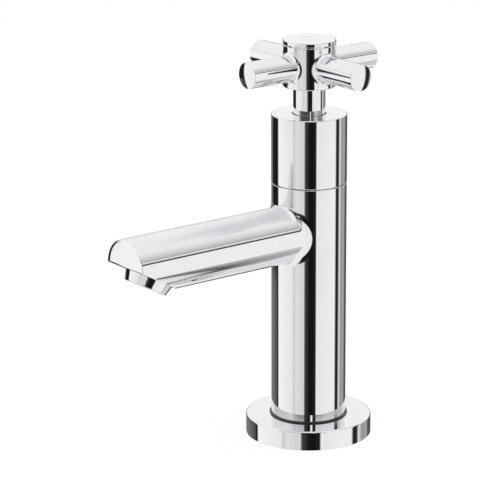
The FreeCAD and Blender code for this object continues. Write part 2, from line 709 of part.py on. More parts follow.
def spline_bush():
    """Plastic bush between the neck and the splined spindle."""
    clear_low, clear_high = BUSH_BACK
    outer = rod(BUSH_R, NECK_BOTTOM + clear_low, SPINDLE_TOP - clear_high)
    return outer.cut(splined(SPLINE_R + SPLINE_PLAY, SHOULDER_TOP, SPINDLE_TOP))


# ---- All the pieces --------------------------------------------------------------------------

PIECES = (
    base_flange, flange_seal_ring, base_gasket,
    column_body, inlet_shank, shank_seal,
    clamp_gasket, clamp_washer, backnut,
    spout, spout_nipple, spout_o_rings, spout_grub_screw,
    nozzle_housing, nozzle_o_ring, flow_insert, flow_screen,
    bonnet_sleeve, neck_guide_ring, sleeve_o_ring,
    headwork_housing, headwork_o_ring, seat_seal, fixed_disc, moving_disc,
    spindle, spindle_o_rings, glide_washer, retaining_clip,
    handle_hub, arm_studs, index_cap, cap_ring, handle_screw, spline_bush,
)


def write(name, shape):
    if not shape.isValid():
        raise ValueError(f"{name} is not a valid shape")
    shape.exportStep(os.path.join("parts", f"{name}.step"))
    box = shape.BoundBox
    print(f"{name:20s} solids {len(shape.Solids)}  volume {shape.Volume:9.1f} mm3  "
          f"z {box.ZMin:7.2f} to {box.ZMax:7.2f}")


os.makedirs("parts", exist_ok=True)
for piece in PIECES:
    write(piece.__name__, piece())
for arm_number, arm_name in enumerate(ARM_NAMES):
    write(arm_name, arm(arm_number))
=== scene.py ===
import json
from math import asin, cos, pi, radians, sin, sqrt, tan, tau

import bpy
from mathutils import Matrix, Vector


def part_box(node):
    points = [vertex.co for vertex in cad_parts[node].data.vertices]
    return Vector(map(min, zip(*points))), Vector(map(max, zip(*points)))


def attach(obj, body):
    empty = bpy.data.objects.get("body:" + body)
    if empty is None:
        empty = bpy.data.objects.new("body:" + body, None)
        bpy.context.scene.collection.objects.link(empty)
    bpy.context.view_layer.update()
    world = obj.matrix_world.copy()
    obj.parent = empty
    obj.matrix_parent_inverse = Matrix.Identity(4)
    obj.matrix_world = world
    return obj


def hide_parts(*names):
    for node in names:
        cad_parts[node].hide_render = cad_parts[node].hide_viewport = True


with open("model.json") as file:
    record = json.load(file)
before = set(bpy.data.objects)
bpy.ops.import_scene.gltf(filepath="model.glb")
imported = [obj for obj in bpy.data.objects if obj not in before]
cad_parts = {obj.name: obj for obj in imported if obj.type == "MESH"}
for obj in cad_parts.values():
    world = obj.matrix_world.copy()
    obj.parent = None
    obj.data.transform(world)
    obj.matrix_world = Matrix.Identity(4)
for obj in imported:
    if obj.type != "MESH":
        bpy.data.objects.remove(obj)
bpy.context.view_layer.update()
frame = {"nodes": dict(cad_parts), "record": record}        # nodes and record of the imported tap

# Cross handle tap, dressed. The spout points along -Y, the deck face is at z = 0, and the threaded
# tail goes down through the deck. Lengths are in metres. The chrome pieces are made here as smooth
# skins with exact normals, because a mirror finish shows every facet. The inner pieces keep their
# CAD shape and get their materials.

MM = 0.001

# ---- Sizes, from the frame where it states them ------------------------------------------------


def low(node):
    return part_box(node)[0]


def high(node):
    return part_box(node)[1]


UP = Vector((0, 0, 1))

FLANGE_R, FLANGE_TOP = high("base_flange").x, high("base_flange").z
FLANGE_EDGE = 0.7 * MM
FINE_EDGE = 0.15 * MM      # rounding that plating leaves on a corner that is meant to be sharp
TAIL_HOLE_R = 11.2 * MM
GASKET_TOP = high("base_gasket").z
GASKET_RECESS = (12.5 * MM, 25.0 * MM)

COLUMN_R, SHELF = high("column_body").x, low("column_body").z
SPIGOT_TOP = high("column_body").z
SPIGOT_R = 14.1 * MM
CHAMBER_R = 10.5 * MM
SEAM = 0.3 * MM
SEAM_EDGE = 0.3 * MM
SLEEVE_R, SLEEVE_TOP, SLEEVE_LOW = high("bonnet_sleeve").x, high("bonnet_sleeve").z, low("bonnet_sleeve").z
SLEEVE_EDGE = 0.5 * MM
SLEEVE_BORE_R = 14.2 * MM
SLEEVE_ROOF = 2.6 * MM
COLUMN_TOP = SLEEVE_LOW - SEAM
GUIDE_R, GUIDE_TOP = 8.4 * MM, high("neck_guide_ring").z
SEAL_R, SEAL_TOP = high("flange_seal_ring").x, high("flange_seal_ring").z
SEAL_POCKET_EDGE = 0.08 * MM
SEAL_LIP_R, SEAL_LIP_TOP = SEAL_R + 0.3 * MM, SEAL_TOP + 0.15 * MM
SEAL_LIP_LOW, SEAL_LIP_EDGE = FLANGE_TOP + 0.02 * MM, 0.35 * MM

NECK_R, NECK_LOW = 6.8 * MM, low("handle_hub").z
NECK_GAP, NECK_HOLE_EDGE = 0.55 * MM, 0.12 * MM
HUB_R, HUB_TOP = high("handle_hub").x, high("handle_hub").z
HUB_LOW = HUB_TOP - 17.7 * MM
HUB_FOOT_EDGE, HUB_TOP_EDGE = 0.5 * MM, 0.2 * MM
BUSH_R, BUSH_TOP = 5.2 * MM, high("spindle").z
SCREW_HOLE_R = 2.2 * MM
WEB_TOP = HUB_TOP - 24.2 * MM
SCREW_WELL_R = 4.4 * MM
CAP_RECESS_R, CAP_RECESS = 8.9 * MM, 5.2 * MM
CAP_R, CAP_TOP, CAP_FOOT = high("index_cap").x, high("index_cap").z, low("index_cap").z
CAP_STEM_R, CAP_HOLLOW_R, CAP_ROOF = CAP_RECESS_R - 0.25 * MM, 6.7 * MM, 1.6 * MM
CAP_GROOVE, CAP_GROOVE_R = 0.55 * MM, CAP_R - 1.9 * MM
CAP_EDGE = 0.7 * MM
MARK_IN, MARK_OUT, MARK_DEPTH, MARK_EDGE = 3.05 * MM, 3.45 * MM, 0.15 * MM, 0.05 * MM

ARM_END = high("arm_right").x
ARM_Z = (low("arm_right").z + high("arm_right").z) / 2
ARM_R = high("arm_right").z - ARM_Z
ARM_DOME = 0.7 * MM
ARM_EDGE = FINE_EDGE
ARM_FILLET = (1.6 * MM, 2.8 * MM)         # hollow rounding into the hub, on the arm's top and on its side

SPOUT_END = -low("spout").y
SPOUT_R = 12.2 * MM
SPOUT_Z = low("spout").z + SPOUT_R
SPOUT_EDGE = 0.4 * MM
SPOUT_CUT = radians(28.5)
TIP_RISE = 0.6 * MM        # of the tip's edge above the bar's axis
TIP_SOFT = 0.14            # share of the tip's upright face that polishing leaves soft at its rim
TIP_SLOPE = sin(radians(8))    # and its slope there, in the shading only
TIP_MIDDLE = SPOUT_R / 3   # height over the bar's axis of the point that the face closes in on
SPOUT_FILLET = (0.4 * MM, 8.0 * MM)       # hollow rounding into the column, on the bar's top and on its side
GRUB_X = -(low("spout_grub_screw").y + high("spout_grub_screw").y) / 2    # out along the spout
GRUB_HOLE_R, GRUB_HOLE_DEPTH = 2.0 * MM, 3.0 * MM

NOZZLE_BACK = 13.5 * MM
NOZZLE_R, NOZZLE_MOUTH_R, NOZZLE_H = 10.2 * MM, 8.9 * MM, 4.25 * MM
NOZZLE_FOOT_EDGE, NOZZLE_MOUTH_EDGE = 0.1 * MM, 0.25 * MM
NOZZLE_LIP_R, NOZZLE_LIP, NOZZLE_BORE_R = 7.3 * MM, 1.0 * MM, 7.9 * MM
NOZZLE_SPIGOT_R, NOZZLE_SPIGOT = 8.95 * MM, 6.0 * MM
NOZZLE_HOLE_R, NOZZLE_HOLE = 9.0 * MM, NOZZLE_SPIGOT + 0.3 * MM

TAIL_R, TAIL_LOW, TAIL_TOP = high("inlet_shank").x, low("inlet_shank").z, high("inlet_shank").z
TAIL_BORE_R = 7.0 * MM
THREAD_PITCH = 25.4 * MM / 14
THREAD_DEPTH = 1.162 * MM
THREAD_FLAT = 1.25         # over 1: how far crests and roots are flattened
TAIL_BEVEL = 1.0 * MM
RUBBER_GAP, PLATE_GAP = 0.3 * MM, 0.07 * MM       # round the tail
RUBBER_EDGE, PLATE_EDGE = 0.4 * MM, 0.3 * MM

SIDES = 256                # facets round a chrome piece
ROUND_STEPS = 8            # facets across a rounded edge
ROOT_STEPS = 4             # facets from a bar's axis to its fillet
FILLET_GROWTH = 1.6        # over 1: the fillet grows late, near the bar's sides


# ---- Skins: meshes with exact normals ----------------------------------------------------------

class Skin:
    """Faces whose corners carry their own exact normals. A corner is a place and a normal."""

    GRAIN = 1e-6           # places closer than this are one vertex
    SHIFT = 0.37           # keeps round figures off the border between two grains

    def __init__(self, frame_at=Matrix.Identity(4)):
        self.frame_at, self.turn = frame_at, frame_at.to_3x3()
        self.numbers, self.places, self.faces, self.normals = {}, [], [], []

    def vertex(self, place):
        key = tuple(round(value / self.GRAIN + self.SHIFT) for value in place)
        if key not in self.numbers:
            self.numbers[key] = len(self.places)
            self.places.append(place)
        return self.numbers[key]

    def face(self, *corners):
        """One face, turned to agree with its normals. Corners that fall together are dropped."""
        ring, normals = [], []
        for place, normal in corners:
            number = self.vertex(place)
            if number not in ring:
                ring.append(number)
                normals.append(normal)
        if len(ring) < 3:
            return
        around = Vector((0, 0, 0))
        start = self.places[ring[0]]
        for one, two in zip(ring[1:], ring[2:]):
            around += (self.places[one] - start).cross(self.places[two] - start)
        if around.dot(sum(normals, Vector((0, 0, 0)))) < 0:
            ring.reverse()
            normals.reverse()
        self.faces.append(ring)
        self.normals += normals

    def grid(self, lines, closed=False, rings=False):
        """Quads between neighbouring lines; the last line joins the first, or each line its own start."""
        ends = lines[1:] + lines[:1] if closed else lines[1:]
        for here, there in zip(lines, ends):
            if rings:
                here, there = here + here[:1], there + there[:1]
            for one, two, three, four in zip(here, here[1:], there[1:], there):
                self.face(one, two, three, four)

    def fan(self, rim, middle):
        """Triangles from a closed rim to its middle."""
        for here, there in zip(rim, rim[1:] + rim[:1]):
            self.face(here, there, middle)

    def piece(self, name, material, body, slot, *nodes):
        """The finished object, riding on its body in place of its CAD nodes."""
        mesh = bpy.data.meshes.new(name)
        mesh.from_pydata([self.frame_at @ place for place in self.places], [], self.faces)
        mesh.shade_smooth()
        mesh.normals_split_custom_set([self.turn @ normal for normal in self.normals])
        mesh.materials.append(material)
        made = bpy.data.objects.new(name, mesh)
        bpy.context.scene.collection.objects.link(made)
        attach(made, body)
        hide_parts(*nodes)


def blend(start, end, steps=ROUND_STEPS):
    """Unit directions from one to the other in even steps."""
    return [start.slerp(end, step / steps, start) for step in range(steps + 1)]


def rounded(centre, radius, start, end):
    """Corners over a rounded edge: its ball's centre and the normals that it turns between."""
    return [(centre + radius * normal, normal) for normal in blend(start, end)]


def root(round_r, fillets, bar_r, wall):
    """Line from a bar's axis over an upright round wall, then over the hollow fillet to the bar.

    The fillet is that of a ball which rolls along both and grows from the bar's top to its side.
    Wall is the bar's normal where the fillet ends.
    """
    smallest, largest = fillets
    fillet = smallest + (largest - smallest) * abs(wall.y) ** FILLET_GROWTH
    ball = (bar_r + fillet) * wall
    ball.x = sqrt((round_r + fillet) ** 2 - ball.y ** 2)
    upright = Vector((ball.x, ball.y, 0)).normalized()
    foot = ball - fillet * upright
    line = []
    for step in range(ROOT_STEPS):
        across = foot * step / ROOT_STEPS
        away = Vector((sqrt(round_r ** 2 - across.y ** 2), across.y, 0))
        line.append((away + UP * across.z, -away / round_r))
    line.append((foot, -upright))
    return line + [(ball - fillet * normal, normal) for normal in blend(upright, wall)]


def outline(corners, closed):
    """Trace of a turned outline as (place, normal) in the plane of radius and height.

    Corners are (radius, height) or (radius, height, rounding), with the metal on the left.
    """
    trace = []
    count = len(corners)
    for number, corner in enumerate(corners):
        here = Vector(corner[:2])
        before = (here - Vector(corners[number - 1][:2])).normalized()
        after = (Vector(corners[(number + 1) % count][:2]) - here).normalized()
        arriving, leaving = Vector((before.y, -before.x)), Vector((after.y, -after.x))
        if not closed and number == 0:
            trace.append((here, leaving))
        elif not closed and number == count - 1:
            trace.append((here, arriving))
        elif len(corner) == 3:
            radius = corner[2]
            turn = before.angle_signed(after)
            side = 1 if before.x * after.y - before.y * after.x > 0 else -1
            start = here - before * radius * tan(abs(turn) / 2)
            centre = start - arriving * radius * side
            for step in range(ROUND_STEPS + 1):
                share = step / ROUND_STEPS
                normal = arriving.copy()
                normal.rotate(Matrix.Rotation(side * abs(turn) * share, 2))
                trace.append((centre + normal * radius * side, normal))
        else:
            trace.append((here, arriving))
            trace.append((here, leaving))
    if closed:
        trace.append(trace[0])
    return trace


def lathe(name, material, body, slot, nodes, corners, closed=True, frame_at=Matrix.Identity(4)):
    """A turned piece: its outline spun about the Z axis of its own frame."""
    trace = outline(corners, closed)
    skin = Skin(frame_at)
    lines = []
    for side in range(SIDES):
        away = Vector((cos(tau * side / SIDES), sin(tau * side / SIDES), 0))
        lines.append([(away * spot.x + UP * spot.y, away * normal.x + UP * normal.y)
                      for spot, normal in trace])
    skin.grid(lines, closed=True)
    skin.piece(name, material, body, slot, *nodes)


# ---- Materials ---------------------------------------------------------------------------------

def linear(hex_colour):
    """Linear colour of an sRGB hex value."""
    channels = [int(hex_colour[at:at + 2], 16) / 255 for at in (1, 3, 5)]
    return [c / 12.92 if c <= 0.04045 else ((c + 0.055) / 1.055) ** 2.4 for c in channels] + [1.0]


def add(tree, kind, inputs=(), **settings):
    """Add one node with its settings and links, and give its outputs."""
    node = tree.nodes.new(kind)
    for name, value in settings.items():
        setattr(node, name, value)
    for socket, value in dict(inputs).items():
        if isinstance(value, bpy.types.NodeSocket):
            tree.links.new(value, node.inputs[socket])
        else:
            node.inputs[socket].default_value = value
    return node.outputs


def new_finish(name):
    """An empty material, its tree, and the place on the piece in metres."""
    material = bpy.data.materials.new(name)
    material.use_nodes = True
    tree = material.node_tree
    tree.nodes.clear()
    return material, tree, add(tree, "ShaderNodeTexCoord")["Object"]


def coat(tree, fixed, colours, pattern, roughness, height, depth):
    """The shader: a pattern drives colour and roughness, and a height gives relief of a depth.

    Roughness is the two values that the pattern goes between, or a node's output of its own.
    """
    colour = add(tree, "ShaderNodeMix", {"Factor": pattern, 6: linear(colours[0]), 7: linear(colours[1])},
                 data_type="RGBA")[2]
    if not isinstance(roughness, bpy.types.NodeSocket):
        roughness = add(tree, "ShaderNodeMapRange", {"Value": pattern, "From Min": 0.3, "From Max": 0.7,
                                                     "To Min": roughness[0], "To Max": roughness[1]})[0]
    bump = add(tree, "ShaderNodeBump", {"Height": height, "Distance": depth, "Strength": 1.0})[0]
    shader = add(tree, "ShaderNodeBsdfPrincipled",
                 {"Base Color": colour, "Roughness": roughness, "Normal": bump, **fixed})[0]
    add(tree, "ShaderNodeOutputMaterial", {"Surface": shader})


METAL = {"Metallic": 1.0}


def chrome_plate(name, bloom=False):
    """Bright chrome plate on polished brass: a clear mirror, with a faint haze and a soft waviness.

    A bloom is what buffing along a bar leaves on its top, where it blurs the picture in the mirror.
    """
    material, tree, place = new_finish(name)
    haze = add(tree, "ShaderNodeTexNoise", {"Vector": place, "Scale": 1 / (9 * MM), "Detail": 4.0})[0]
    ripple = add(tree, "ShaderNodeTexNoise", {"Vector": place, "Scale": 1 / (5 * MM), "Detail": 1.0})[0]
    roughness = (0.015, 0.04)
    if bloom:
        upward = add(tree, "ShaderNodeSeparateXYZ", {0: add(tree, "ShaderNodeTexCoord")["Normal"]})["Z"]
        roughness = add(tree, "ShaderNodeMapRange", {"Value": upward, "From Min": 0.55, "From Max": 0.85,
                                                     "To Min": 0.03, "To Max": 0.34},
                        interpolation_type="SMOOTHSTEP")[0]
    coat(tree, METAL, ("#E4E5E8", "#EDEEEF"), haze, roughness, ripple, 0.0008 * MM)
    return material


def turned_brass():
    """Plain brass off the lathe: yellow, with fine tool rings across the axis and a dull tarnish."""
    material, tree, place = new_finish("turned_brass")
    tarnish = add(tree, "ShaderNodeTexNoise", {"Vector": place, "Scale": 1 / (4 * MM), "Detail": 5.0})[0]
    feed = 0.3 * MM                                    # drawn coarser than a real cut, so that it shows
    rings = add(tree, "ShaderNodeTexWave", {"Vector": place, "Scale": tau / (20 * feed), "Distortion": 0.4},
                wave_type="BANDS", bands_direction="Z")["Fac"]
    coat(tree, METAL, ("#A9803C", "#D9B56A"), tarnish, (0.24, 0.42), rings, 0.004 * MM)
    return material


def black_rubber():
    """Moulded EPDM rubber: matt black with a fine grain and a grey bloom."""
    material, tree, place = new_finish("black_rubber")
    bloom = add(tree, "ShaderNodeTexNoise", {"Vector": place, "Scale": 1 / (2.5 * MM), "Detail": 4.0})[0]
    grain = add(tree, "ShaderNodeTexNoise", {"Vector": place, "Scale": 1 / (0.25 * MM)})[0]
    coat(tree, {"IOR": 1.52}, ("#060607", "#141415"), bloom, (0.25, 0.45), grain, 0.01 * MM)
    return material


def red_fibre():
    """Pressed vulcanised fibre: dull red with darker strands that lie flat."""
    material, tree, place = new_finish("red_fibre")
    flat = add(tree, "ShaderNodeMapping", {"Vector": place, "Scale": (1.0, 1.0, 6.0)})[0]
    strands = add(tree, "ShaderNodeTexNoise", {"Vector": flat, "Scale": 1 / (0.8 * MM), "Detail": 6.0})[0]
    coat(tree, {"IOR": 1.55}, ("#6A1F16", "#A4503C"), strands, (0.7, 0.85), strands, 0.03 * MM)
    return material


def zinc_plate():
    """Zinc-plated pressed steel: pale blue-grey with a soft crystalline mottle."""
    material, tree, place = new_finish("zinc_plate")
    crystals = add(tree, "ShaderNodeTexVoronoi", {"Vector": place, "Scale": 1 / (1.6 * MM)})["Distance"]
    coat(tree, METAL, ("#9CA3A9", "#C9CDCF"), crystals, (0.28, 0.42), crystals, 0.004 * MM)
    return material


def stainless_steel():
    """Plain stainless steel, turned or drawn: warm grey with fine lines round the axis."""
    material, tree, place = new_finish("stainless_steel")
    drawn = add(tree, "ShaderNodeMapping", {"Vector": place, "Scale": (1.0, 1.0, 14.0)})[0]
    lines = add(tree, "ShaderNodeTexNoise", {"Vector": drawn, "Scale": 1 / (2 * MM), "Detail": 5.0})[0]
    coat(tree, METAL, ("#A5A39E", "#C9C7C2"), lines, (0.2, 0.36), lines, 0.002 * MM)
    return material


def moulded_acetal(name, colours):
    """Moulded acetal: a slightly waxy plastic with flow marks and a fine spark-eroded grain."""
    material, tree, place = new_finish(name)
    flow = add(tree, "ShaderNodeTexNoise", {"Vector": place, "Scale": 1 / (3 * MM), "Detail": 2.0})[0]
    grain = add(tree, "ShaderNodeTexNoise", {"Vector": place, "Scale": 1 / (0.2 * MM)})[0]
    coat(tree, {"IOR": 1.48}, colours, flow, (0.32, 0.46), grain, 0.004 * MM)
    return material


def lapped_alumina():
    """Sintered alumina, lapped flat: warm white, dense, with a faint speckle of grain."""
    material, tree, place = new_finish("lapped_alumina")
    grain = add(tree, "ShaderNodeTexNoise", {"Vector": place, "Scale": 1 / (0.3 * MM), "Detail": 4.0})[0]
    coat(tree, {"IOR": 1.76}, ("#E2DED3", "#F3F1EA"), grain, (0.12, 0.24), grain, 0.001 * MM)
    return material


CHROME = chrome_plate("chrome_plate")
SPOUT_CHROME = chrome_plate("buffed_chrome_plate", bloom=True)
BRASS = turned_brass()
RUBBER = black_rubber()
ZINC = zinc_plate()
SLOT_FINISH = {
    "chrome_plated_brass": CHROME,
    "turned_brass": BRASS,
    "black_rubber": RUBBER,
    "fibre_seal": red_fibre(),
    "zinc_plated_steel": ZINC,
    "stainless_steel": stainless_steel(),
    "white_acetal": moulded_acetal("white_acetal", ("#E4E3DD", "#F1F0EB")),
    "grey_acetal": moulded_acetal("grey_acetal", ("#85878A", "#9A9C9E")),
    "alumina_ceramic": lapped_alumina(),
}


# ---- Base and column ---------------------------------------------------------------------------

def base():
    """Base ring with the recess for its gasket, and the rubber lip between it and the column."""
    inner, outer = GASKET_RECESS
    lathe("base_ring", CHROME, "root", "chrome_plated_brass", ["base_flange"], [
        (TAIL_HOLE_R, 0), (inner, 0), (inner, GASKET_TOP), (outer, GASKET_TOP), (outer, 0),
        (FLANGE_R, 0, FINE_EDGE), (FLANGE_R, FLANGE_TOP, FLANGE_EDGE),
        (SEAL_R, FLANGE_TOP, SEAL_POCKET_EDGE), (SEAL_R, SHELF), (TAIL_HOLE_R, SHELF),
    ])
    lathe("base_seal", RUBBER, "root", "black_rubber", ["flange_seal_ring"], [
        (COLUMN_R, SHELF), (SEAL_R, SHELF), (SEAL_R, SEAL_LIP_LOW), (SEAL_LIP_R, SEAL_LIP_LOW),
        (SEAL_LIP_R, SEAL_LIP_TOP, SEAL_LIP_EDGE), (COLUMN_R, SEAL_LIP_TOP),
    ])


def column():
    """The column up to the seam, and the cover sleeve above it."""
    lathe("column", CHROME, "root", "chrome_plated_brass", ["column_body"], [
        (CHAMBER_R, SHELF), (COLUMN_R, SHELF), (COLUMN_R, COLUMN_TOP, SEAM_EDGE),
        (SPIGOT_R, COLUMN_TOP), (SPIGOT_R, SPIGOT_TOP), (CHAMBER_R, SPIGOT_TOP),
    ])
    neck_hole = NECK_R + NECK_GAP
    roof_low = SLEEVE_TOP - SLEEVE_ROOF
    lathe("cover_sleeve", CHROME, "root", "chrome_plated_brass", ["bonnet_sleeve"], [
        (SLEEVE_BORE_R, SLEEVE_LOW), (SLEEVE_R, SLEEVE_LOW, SEAM_EDGE),
        (SLEEVE_R, SLEEVE_TOP, SLEEVE_EDGE), (neck_hole, SLEEVE_TOP, NECK_HOLE_EDGE),
        (neck_hole, GUIDE_TOP), (GUIDE_R, GUIDE_TOP), (GUIDE_R, roof_low),
        (SLEEVE_BORE_R, roof_low),
    ])


# ---- Handle ------------------------------------------------------------------------------------

def hub():
    """Hub and neck in one piece, with the screw's well and the recess for the cap."""
    lathe("handle_hub_and_neck", CHROME, "handle", "chrome_plated_brass", ["handle_hub"], [
        (BUSH_R, NECK_LOW), (NECK_R, NECK_LOW), (NECK_R, HUB_LOW, FINE_EDGE),
        (HUB_R, HUB_LOW, HUB_FOOT_EDGE), (HUB_R, HUB_TOP, HUB_TOP_EDGE), (CAP_RECESS_R, HUB_TOP),
        (CAP_RECESS_R, HUB_TOP - CAP_RECESS), (SCREW_WELL_R, HUB_TOP - CAP_RECESS),
        (SCREW_WELL_R, WEB_TOP), (SCREW_HOLE_R, WEB_TOP), (SCREW_HOLE_R, BUSH_TOP),
        (BUSH_R, BUSH_TOP),
    ])


def cap():
    """Push-in cap: a disc over a fine groove, with a plain engraved ring."""
    cap_low = HUB_TOP + CAP_GROOVE
    lathe("index_cap_disc", CHROME, "handle", "chrome_plated_brass", ["index_cap"], [
        (0, CAP_TOP - CAP_ROOF), (CAP_HOLLOW_R, CAP_TOP - CAP_ROOF), (CAP_HOLLOW_R, CAP_FOOT),
        (CAP_STEM_R, CAP_FOOT), (CAP_STEM_R, HUB_TOP), (CAP_GROOVE_R, HUB_TOP), (CAP_GROOVE_R, cap_low),
        (CAP_R, cap_low, FINE_EDGE), (CAP_R, CAP_TOP, CAP_EDGE), (MARK_OUT, CAP_TOP, MARK_EDGE),
        (MARK_OUT, CAP_TOP - MARK_DEPTH), (MARK_IN, CAP_TOP - MARK_DEPTH), (MARK_IN, CAP_TOP, MARK_EDGE),
        (0, CAP_TOP),
    ], closed=False)


def arm(name, turn):
    """Round arm with a domed end. It runs into the hub with a hollow fillet."""
    ball_r = (ARM_R ** 2 + ARM_DOME ** 2) / (2 * ARM_DOME)
    ball_x = ARM_END - ball_r
    rim_r = ARM_R - ARM_EDGE
    rim_x = ball_x + sqrt((ball_r - ARM_EDGE) ** 2 - rim_r ** 2)
    rim_angle = asin(rim_r / (ball_r - ARM_EDGE))
    dome_steps = 24
    lines = []
    for side in range(SIDES):
        angle = tau * side / SIDES
        wall = Vector((0, sin(angle), cos(angle)))
        line = root(HUB_R, ARM_FILLET, ARM_R, wall)
        outward = Vector((cos(rim_angle), 0, 0)) + wall * sin(rim_angle)
        line += rounded(Vector((rim_x, 0, 0)) + wall * rim_r, ARM_EDGE, wall, outward)
        for step in range(1, dome_steps + 1):
            polar = rim_angle * (1 - step / dome_steps)
            normal = Vector((cos(polar), 0, 0)) + wall * sin(polar)
            line.append((Vector((ball_x, 0, 0)) + normal * ball_r, normal))
        lines.append(line)
    skin = Skin(Matrix.Rotation(turn, 4, "Z") @ Matrix.Translation((0, 0, ARM_Z)))
    skin.grid(lines, closed=True)
    skin.piece(name + "_bar", CHROME, "handle", "chrome_plated_brass", name)


# ---- Spout -------------------------------------------------------------------------------------

def spout():
    """Round bar that runs into the column. Local X runs out along the spout from the column's axis.

    The tip has an upright half face, and a slanted cut below it with a pocket for the nozzle.
    """
    flat = Vector((1, 0, 0))
    slant = Vector((sin(SPOUT_CUT), 0, -cos(SPOUT_CUT)))
    ball_r = SPOUT_R - SPOUT_EDGE
    rise = TIP_RISE + SPOUT_EDGE * (1 - sin(SPOUT_CUT)) / cos(SPOUT_CUT)   # of the ball at the tip's edge
    corner = pi / 2 - asin(rise / ball_r)
    quarter = SIDES // 4
    window_steps, window = 8, 1.6 * GRUB_HOLE_R
    stations = [GRUB_X + window * (2 * step / window_steps - 1) for step in range(window_steps + 1)]

    # Columns of the skin round the bar: angle from the top, the tip face they end on, and its name.
    columns = [(corner * step / quarter, flat, "flat") for step in range(quarter + 1)]
    turns = blend(flat, slant)
    columns += [(corner, normal, "") for normal in turns[1:-1]] + [(corner, slant, "slant")]
    span = tau - 2 * corner
    columns += [(corner + span * step / (2 * quarter), slant, "slant") for step in range(1, 2 * quarter + 1)]
    columns += [(tau - corner, normal, "") for normal in turns[-2:0:-1]] + [(tau - corner, flat, "flat")]
    columns += [(tau - corner + corner * step / quarter, flat, "flat") for step in range(1, quarter)]

    lines, rims = [], {"flat": [], "slant": [], "": []}
    for angle, face, rim in columns:
        wall = Vector((0, sin(angle), cos(angle)))
        line = root(COLUMN_R, SPOUT_FILLET, SPOUT_R, wall)
        first = len(line)
        line += [(Vector((x, 0, 0)) + wall * SPOUT_R, wall) for x in stations]
        height = ball_r * wall.z - TIP_RISE
        back = SPOUT_EDGE if rim == "flat" else (SPOUT_EDGE - height * cos(SPOUT_CUT)) / sin(SPOUT_CUT)
        line += rounded(Vector((SPOUT_END - back, 0, 0)) + wall * ball_r, SPOUT_EDGE, wall, face)
        lines.append(line)
        rims[rim].append(line[-1])

    skin = Skin(Matrix.Translation((0, 0, SPOUT_Z)) @ Matrix.Rotation(-pi / 2, 4, "Z"))
    below = [n for n, line in enumerate(lines) if line[first][0].z < 0 and abs(line[first][0].y) < window]
    skin.grid([line[:first + 1] for line in lines], closed=True)
    skin.grid([line[first + window_steps:] for line in lines], closed=True)
    for number, line in enumerate(lines):
        after = lines[(number + 1) % len(lines)]
        if number not in below[:-1]:
            skin.grid([line[first:first + window_steps + 1], after[first:first + window_steps + 1]])
    grub_hole(skin, [lines[n][first:first + window_steps + 1] for n in below])

    half_chord = ball_r * sin(corner)
    chord_steps = 64
    chord = [half_chord * (1 - 2 * step / chord_steps) for step in range(chord_steps + 1)]
    balls = [Vector((SPOUT_END - SPOUT_EDGE, y, rise)) for y in chord]
    skin.grid([rounded(ball, SPOUT_EDGE, flat, slant) for ball in balls])

    rim = rims["flat"][quarter + 1:] + rims["flat"][:quarter + 1]
    rim += [(ball + SPOUT_EDGE * flat, flat) for ball in balls]
    middle = Vector((SPOUT_END, 0, TIP_MIDDLE))
    inner = [(place.lerp(middle, TIP_SOFT), flat) for place, _ in rim]
    slopes = [Vector((0, place.y, place.z)) * TIP_SLOPE / SPOUT_R for place, _ in rim]
    rim = [(place, (flat + slope).normalized()) for (place, _), slope in zip(rim, slopes)]
    skin.grid([rim, inner], rings=True)
    skin.fan(inner, (middle, flat))

    seat = Vector((SPOUT_END - NOZZLE_BACK * cos(SPOUT_CUT), 0, TIP_RISE - NOZZLE_BACK * sin(SPOUT_CUT)))
    rim = rims["slant"] + [(ball + SPOUT_EDGE * slant, slant) for ball in reversed(balls)]
    outward = [(place - seat).normalized() for place, _ in rim]
    hole = [(seat + NOZZLE_HOLE_R * away, slant) for away in outward]
    skin.grid([rim, hole], rings=True)
    depth = slant * -NOZZLE_HOLE
    skin.grid([[(place, -away) for (place, _), away in zip(hole, outward)],
               [(place + depth, -away) for (place, _), away in zip(hole, outward)]], rings=True)
    skin.fan([(place + depth, slant) for place, _ in hole], (seat + depth, slant))
    skin.piece("spout_bar", SPOUT_CHROME, "root", "chrome_plated_brass", "spout")


def grub_hole(skin, patch):
    """Round hole for the grub screw, in the patch of lines left open under the spout."""
    rim = patch[0][:-1] + [line[-1] for line in patch[:-1]]
    rim += patch[-1][:0:-1] + [line[0] for line in patch[:0:-1]]
    hole, deep = [], []
    for place, _ in rim:
        away = Vector((place.x - GRUB_X, place.y, 0)).normalized()
        spot = Vector((GRUB_X, 0, 0)) + away * GRUB_HOLE_R
        spot.z = -sqrt(SPOUT_R ** 2 - spot.y ** 2)
        hole.append((spot, Vector((0, spot.y, spot.z)) / SPOUT_R))
        deep.append((spot + UP * GRUB_HOLE_DEPTH, -away))
    skin.grid([rim, hole], rings=True)
    mouth = [(place, away) for (place, _), (_, away) in zip(hole, deep)]
    skin.grid([mouth, deep], rings=True)
    bottom = [(place, -UP) for place, _ in deep]
    skin.fan(bottom, (Vector((GRUB_X, 0, GRUB_HOLE_DEPTH - SPOUT_R)), -UP))


